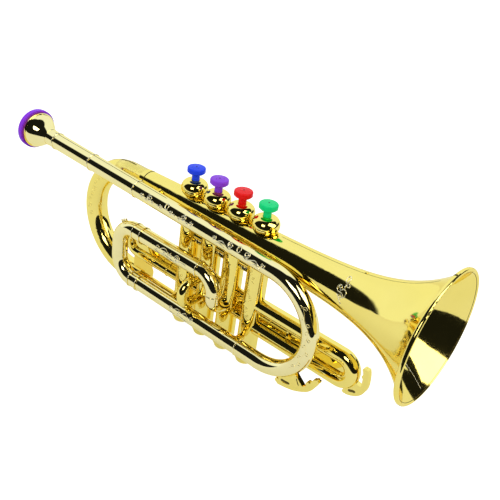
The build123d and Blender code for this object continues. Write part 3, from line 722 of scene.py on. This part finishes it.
def join_rings(mesh, rings, closed=False):
    """Skins a tube over rings of vertices, with both its ends shut unless it is a loop."""
    pairs = list(zip(rings, rings[1:]))
    if closed:
        pairs.append((rings[-1], rings[0]))
    for first, second in pairs:
        for step in range(len(first)):
            after = (step + 1) % len(first)
            mesh.faces.new((first[step], first[after], second[after], second[step]))
    if not closed:
        mesh.faces.new(rings[0])
        mesh.faces.new(reversed(rings[-1]))


def add_bead(mesh, surface, points, width, height, closed):
    """One raised line of half-round section, its foot just under the surface."""
    line = smooth_line(points, closed)
    count = len(line)
    rings = []
    for number, (along, around) in enumerate(line):
        spot, normal = surface.at(along, around)
        ahead = surface.at(*line[(number + 1) % count if closed else min(number + 1, count - 1)])[0]
        behind = surface.at(*line[(number - 1) % count if closed else max(number - 1, 0)])[0]
        side = normal.cross(ahead - behind).normalized()
        swell = 1.0 if closed else min(1.0, BEAD_TIP + BEAD_GROWTH * min(number, count - 1 - number))
        ring = []
        for step in range(BEAD_SIDES + 1):
            turn = math.pi * step / BEAD_SIDES
            sink = BEAD_SINK if step in (0, BEAD_SIDES) else 0.0
            out = side * (math.cos(turn) * width / 2 * swell)
            rise = normal * (math.sin(turn) * height * swell - sink)
            ring.append(mesh.verts.new(place(*(spot + out + rise))))
        rings.append(ring)
    join_rings(mesh, rings, closed)


def add_nub(mesh, surface, along, around, radius, height):
    """A small round nub that stands on a surface, its foot under it."""
    spot, normal = surface.at(along, around)
    side = normal.orthogonal().normalized()
    across = normal.cross(side)
    rings = []
    for reach, rise in NUB_RINGS:
        points = circle(spot + normal * (height * rise), side, across, radius * reach, NUB_SIDES)
        rings.append([mesh.verts.new(place(*point)) for point in points])
    join_rings(mesh, rings)


def add_piece(name, mesh, material, body="root"):
    bmesh.ops.recalc_face_normals(mesh, faces=mesh.faces)
    for face in mesh.faces:
        face.smooth = True
    data = bpy.data.meshes.new(name)
    mesh.to_mesh(data)
    mesh.free()
    data.materials.append(MATERIALS[material])
    piece = bpy.data.objects.new(name, data)
    bpy.context.scene.collection.objects.link(piece)
    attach(piece, body)
    return piece


def add_relief(name, surface, lines, material, width, height):
    """Raised lines on a surface, as one piece."""
    mesh = bmesh.new()
    for points, closed in lines:
        add_bead(mesh, surface, points, width, height, closed)
    add_piece(name, mesh, material)


# Pieces

PLATE_HALF = 4.2
PLATE_THICK = 0.8
PLATE_STEPS = 12
PLATE_CORNERS = ((-1, 0.0), (1, 0.0), (1, 1.0), (-1, 1.0))
SHARP_EDGE = 1.0
WAVE_POINTS = ((0.0, 1.1), (0.2, 2.7), (0.8, 3.3), (1.3, 2.7), (1.5, 1.3))
WAVE_STARTS = (-2.7, -0.5, 1.7)
# The radius and the height of each kind of nub.
BOW_NUB = (0.75, 2.3)
BELL_NUB = (1.3, 0.6)
# The dark nub in each key cap's dimple, painted shade.
KEY_DIMPLE_SHADE = (0.75, 0.42)
BELL_NUB_X = 302.3
BOW_NUB_TURNS = (127.0, 120.6, 114.2)


def add_link_plate(number):
    """A bulged plate over the upper link between two casings, with a raised wave on it."""
    middle = (KEY_PLACES[number - 1] + KEY_PLACES[number]) / 2
    height = PLATE.radius * (PLATE.head_turn - PLATE.foot_turn)
    mesh = bmesh.new()
    rows = []
    for step in range(PLATE_STEPS + 1):
        row = []
        for side, depth in PLATE_CORNERS:
            spot, normal = PLATE.at(middle + PLATE_HALF * side, height * step / PLATE_STEPS)
            row.append(mesh.verts.new(place(*(spot - normal * PLATE_THICK * depth))))
        rows.append(row)
    join_rings(mesh, rows)
    edges = [edge for edge in mesh.edges if edge.calc_face_angle(0) > SHARP_EDGE]
    bmesh.ops.split_edges(mesh, edges=edges)
    add_piece(f"link_plate_{number}", mesh, "gold")
    waves = [stroke(*((middle + start + x, z) for x, z in WAVE_POINTS)) for start in WAVE_STARTS]
    add_relief(f"link_wave_{number}", PLATE, waves, "relief", 0.34, 0.16)


def add_nubs():
    """Moulding nubs on the small bow's top and on the bell's top."""
    mesh = bmesh.new()
    top = SMALL_BOW.radius * math.radians(84.0)
    for degrees in BOW_NUB_TURNS:
        add_nub(mesh, SMALL_BOW, SMALL_BOW.bend_radius * math.radians(degrees), top, *BOW_NUB)
    add_piece("small_bow_nubs", mesh, "lit_pale_gold")
    mesh = bmesh.new()
    top = BELL.radius_at(BELL_NUB_X) * math.radians(96.0)
    add_nub(mesh, BELL, BELL_NUB_X, top, *BELL_NUB)
    add_piece("bell_nub", mesh, "gold")


def add_key_dimple_shades():
    """Dark nubs in the middle of the key caps: painted shade in their dimples."""
    for number, x in enumerate(KEY_PLACES, start=1):
        mesh = bmesh.new()
        add_nub(mesh, KeyDimple(), x, 0.0, *KEY_DIMPLE_SHADE)
        add_piece(f"key_dimple_shade_{number}", mesh, "pad_rubber", f"key_body_{number}")


def add_ornament():
    """Scrolls, leaves, curls and the clef."""
    add_relief("leadpipe_scrolls", LEADPIPE, leadpipe_lines(), "relief", 0.72, 0.4)
    add_relief("loop_scrolls", LOOP_PIPE, loop_lines(), "relief", 0.66, 0.36)
    add_relief("lower_pipe_scrolls", LOWER_PIPE, lower_lines(), "relief", 0.6, 0.25)
    add_relief("front_bow_leaves", FRONT_BOW, bow_lines(), "lit_pale_gold", 0.55, 0.24)
    add_relief("front_bow_mark", FRONT_BOW, [stroke((27.4, 1.6), (26.8, 2.6), (26.3, 3.6))], "seam", 0.9, 0.3)
    add_relief("crook_scrolls", CROOK, crook_lines(), "gold", 0.45, 0.08)
    for number, casing in enumerate(CASINGS, start=1):
        add_relief(f"casing_scrolls_{number}", casing, casing_lines(), "gold", 0.45, 0.14)
    add_relief("bell_clef", BELL, clef_lines(), "relief", 0.6, 0.36)


def add_seams():
    """The joins of the crook's and the bell's halves, and of the crook and the bell."""
    top = CROOK.radius * math.pi / 2
    quarter = CROOK.bend_radius * math.pi / 2
    add_relief("crook_seam", CROOK, [seam_line(quarter - 11.0, quarter + 22.0, top)], "seam", 0.5, 0.1)
    outer = bell_line(BELL, [238.0 + 2.75 * step for step in range(41)], 90.0)
    add_relief("bell_seam", BELL, [outer], "seam", 0.35, 0.1)
    inner = bell_line(BELL_INSIDE, [296.0 + 2.0 * step for step in range(31)], -93.0)
    add_relief("bell_inner_seam", BELL_INSIDE, [inner], "relief", 0.26, 0.05)
    section = [20.0 + 13.0 * step for step in range(10)]
    rim_marks = [stroke(*((along, degrees) for along in section)) for degrees in (85.0, -91.0)]
    add_relief("rim_seam", Rim(), rim_marks, "seam", 2.0, 0.12)
    joint = stroke(*((JOINT_X, JOINT_RADIUS * math.radians(20.0 + 8.0 * step)) for step in range(13)))
    add_relief("crook_joint", BELL, [joint], "seam", 0.8, 0.25)


def add_key_marks():
    """Dark strips on the water keys' near sides: painted shade in their slots and in the crease."""
    slot = stroke((271.1, -76.7), (273.1, -76.5), (275.6, -76.3), (278.5, -75.8))
    add_relief("front_key_slot", FRONT_WATER_KEY, [slot], "seam", 2.1, 0.2)
    crease = stroke((282.7, -68.2), (283.9, -70.4), (285.5, -72.8))
    add_relief("front_key_crease", FRONT_WATER_KEY, [crease], "seam", 0.8, 0.2)
    slot = stroke((311.7, -69.8), (313.3, -69.1), (315.1, -68.4), (317.1, -67.9))
    add_relief("rear_key_slot", REAR_WATER_KEY, [slot], "seam", 2.1, 0.2)


def add_dark_lines():
    """The seam along the leadpipe's top and the shade line inside the bell's lip."""
    top = LEADPIPE_SEAM_RADIUS * math.radians(88.0)
    add_relief("leadpipe_seam", LEADPIPE, [seam_line(22.0, 150.0, top)], "seam", 0.4, 0.1)
    once_round = BELL_INSIDE.radius_at(LIP_X) * math.tau
    lip = stroke(*((LIP_X, once_round * step / LIP_STEPS) for step in range(LIP_STEPS + 1)))
    add_relief("bell_lip_line", BELL_INSIDE, [lip], "seam", 0.4, 0.08)


def add_bright_rings():
    """Bright crests on the raised rings: painted highlights where the rings catch the light."""
    add_relief("leadpipe_crests", LEADPIPE, ring_lines(6.3, 25.5, 69.2, 120.1), "relief", 0.7, 0.62)
    add_relief("upper_sleeve_crests", LOOP_SLEEVE, ring_lines(6.2, 21.9, 29.9), "relief", 0.6, 0.3)
    add_relief("lower_sleeve_crests", LOWER_SLEEVE, ring_lines(6.2, 20.0, 28.0), "relief", 0.6, 0.3)
    add_relief("loop_crest", LOOP_PIPE, ring_lines(LOOP_RADIUS, 87.5), "relief", 0.7, 0.62)
    add_relief("lower_pipe_crest", LOWER_PIPE, ring_lines(LOWER_RADIUS, 130.6), "relief", 0.7, 0.62)


SPRING_TURNS = 4
SPRING_WIRE_RADIUS = 0.25
SPRING_STEPS = 28
SPRING_SIDES = 8


def add_springs():
    """The return springs under the keys."""
    wire = SPRING_WIRE_RADIUS * MM
    count = SPRING_TURNS * SPRING_STEPS
    for number in range(1, KEY_COUNT + 1):
        node = f"key_spring_{number}"
        low, high = (Vector(corner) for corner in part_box(node))
        middle = (low + high) / 2
        reach = (high.x - low.x) / 2 - wire
        foot = low.z + wire
        climb = high.z - wire - foot
        mesh = bmesh.new()
        rings = []
        for step in range(count + 1):
            share = step / count
            out = turned(ALONG, -NEAR, math.tau * SPRING_TURNS * share)
            centre = Vector((middle.x, middle.y, foot + climb * share)) + out * reach
            points = circle(centre, out, UPWARD, wire, SPRING_SIDES)
            rings.append([mesh.verts.new(point) for point in points])
        join_rings(mesh, rings)
        spring = add_piece(f"return_spring_{number}", mesh, "spring_steel")
        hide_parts(node)
        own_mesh(spring)


def add_pieces():
    add_ornament()
    add_seams()
    add_key_marks()
    for number in range(1, KEY_COUNT):
        add_link_plate(number)
    add_nubs()
    add_key_dimple_shades()
    add_dark_lines()
    add_bright_rings()
    add_springs()


# Floor, world and lights, in metres

WHITE = (1, 1, 1)
COOL_WHITE = (0.9, 0.99, 1.12)
VIEW_SIDE = Vector((0.806, 0.592, 0.0))
VIEW_AWAY = Vector((-0.592, 0.806, 0.0))
TRUMPET_MIDDLE = place(178, 0, -30)

FLOOR_BACK = 4.0
FLOOR_FRONT = 0.27
FLOOR_SIDE = 4.0
FLOOR_COLOUR = 0.5
FLOOR_ROUGHNESS = 0.8
FLOOR_SEEN_GLOW = 0.9
FLOOR_MIRROR_GLOW = 0.47

BACKDROP_FROM = 75.0
BACKDROP_TO = 210.0
BACKDROP_EDGE = 0.04
BACKDROP_GLOW = 1.08
ROOM_GLOW = 0.011
MATT_GLOW = 0.85

TOP_WIDTH = 1.8
TOP_DEPTH = 0.9
TOP_HEIGHT = 0.33
TOP_FRONT = 0.18
TOP_GLOW = 1.06

# Name, bearing, rise, distance, width, height, radiance and roll. The angles are in degrees.
BOXES = (
    ("front_box", -72, 33, 1.1, 0.42, 0.4, 4.5, 0),
    ("bell_box", 8, 35, 1.2, 0.72, 1.25, 3.0, 32),
)


def add_sheet(name, middle, half_width, front, back, shader):
    """A level sheet that lies square to the camera's view."""
    side = VIEW_SIDE * half_width
    near = middle + VIEW_AWAY * front
    far = middle + VIEW_AWAY * back
    mesh = bpy.data.meshes.new(name)
    mesh.from_pydata([near - side, near + side, far + side, far - side], [], [(0, 1, 2, 3)])
    mesh.materials.append(shader.material)
    sheet = bpy.data.objects.new(name, mesh)
    bpy.context.scene.collection.objects.link(sheet)
    return sheet


def add_floor():
    """A white floor whose glow only the camera and mirrors see, so it still takes a shadow."""
    shader = Shader("floor_white")
    shader.set(Base_Color=(FLOOR_COLOUR, FLOOR_COLOUR, FLOOR_COLOUR, 1), Roughness=FLOOR_ROUGHNESS,
               Specular_IOR_Level=0.0)
    path = shader.add("ShaderNodeLightPath")
    parts = []
    for ray, level in (("Is Camera Ray", FLOOR_SEEN_GLOW), ("Is Glossy Ray", FLOOR_MIRROR_GLOW)):
        part = shader.add("ShaderNodeMath", {1: level}, operation="MULTIPLY")
        shader.join(path.outputs[ray], part.inputs[0])
        parts.append(part.outputs[0])
    glow = shader.add("ShaderNodeEmission")
    shader.join(shader.combine("MAXIMUM", *parts), glow.inputs["Strength"])
    shader.join(shader.blend(path.outputs["Is Glossy Ray"], WHITE, COOL_WHITE), glow.inputs["Color"])
    total = shader.add("ShaderNodeAddShader")
    shader.join(shader.principled.outputs["BSDF"], total.inputs[0])
    shader.join(glow.outputs["Emission"], total.inputs[1])
    shader.join(total.outputs["Shader"], shader.surface)
    floor = add_sheet("floor", Vector(), FLOOR_SIDE, -FLOOR_FRONT, FLOOR_BACK, shader)


def add_world():
    """A white backdrop behind and to the left, a dark room in front, and even light for matt surfaces."""
    world = bpy.data.worlds.new("world")
    bpy.context.scene.world = world
    world.use_nodes = True
    nodes = Nodes(world.node_tree)
    background = world.node_tree.nodes["Background"]
    where = nodes.add("ShaderNodeTexCoord")
    sides = []
    for bearing in (BACKDROP_FROM + 90, BACKDROP_TO - 90):
        inward = nodes.add("ShaderNodeVectorMath", {1: compass(bearing)}, operation="DOT_PRODUCT")
        nodes.join(where.outputs["Generated"], inward.inputs[0])
        level = inward.outputs["Value"]
        sides.append(nodes.spread(level, 0.0, 1.0, -BACKDROP_EDGE, BACKDROP_EDGE, "SMOOTHSTEP"))
    level = nodes.spread(nodes.combine("MINIMUM", *sides), ROOM_GLOW, BACKDROP_GLOW, 0.0, 1.0)
    path = nodes.add("ShaderNodeLightPath")
    nodes.join(nodes.blend(path.outputs["Is Glossy Ray"], WHITE, COOL_WHITE), background.inputs["Color"])
    for ray, strength in (("Is Diffuse Ray", MATT_GLOW), ("Is Camera Ray", 1.0)):
        mix = nodes.add("ShaderNodeMix", {"B": strength})
        nodes.join(path.outputs[ray], mix.inputs["Factor"])
        nodes.join(level, mix.inputs["A"])
        level = mix.outputs["Result"]
    nodes.join(level, background.inputs["Strength"])


def add_box(name, bearing, rise, distance, width, height, radiance, roll):
    """A soft box that faces the trumpet, which the gloss shows and the camera doesn't see."""
    data = bpy.data.lights.new(name, "AREA")
    data.shape = "RECTANGLE"
    data.size = width
    data.size_y = height
    data.energy = radiance * math.pi * width * height
    light = bpy.data.objects.new(name, data)
    bpy.context.scene.collection.objects.link(light)
    way = turned(compass(bearing), UPWARD, math.radians(rise))
    across = compass(bearing + 90)
    up = way.cross(across)
    roll = math.radians(roll)
    stand(light, turned(across, up, roll), turned(up, -across, roll), -way, TRUMPET_MIDDLE + way * distance)
    light.visible_camera = False
    light.visible_diffuse = False


def add_top_sheet():
    """A wide soft sheet of light over the trumpet, out of the camera's sight."""
    shader = Shader("top_glow")
    glow = shader.add("ShaderNodeEmission", {"Color": (*COOL_WHITE, 1), "Strength": TOP_GLOW})
    shader.join(glow.outputs["Emission"], shader.surface)
    middle = TRUMPET_MIDDLE + UPWARD * TOP_HEIGHT
    sheet = add_sheet("top_sheet", middle, TOP_WIDTH / 2, TOP_FRONT, TOP_FRONT + TOP_DEPTH, shader)
    sheet.visible_camera = False


scene = bpy.context.scene
scene.view_settings.view_transform = "Standard"
add_camera()
dress_nodes()
add_pieces()
add_floor()
add_world()
add_top_sheet()
for box in BOXES:
    add_box(*box)
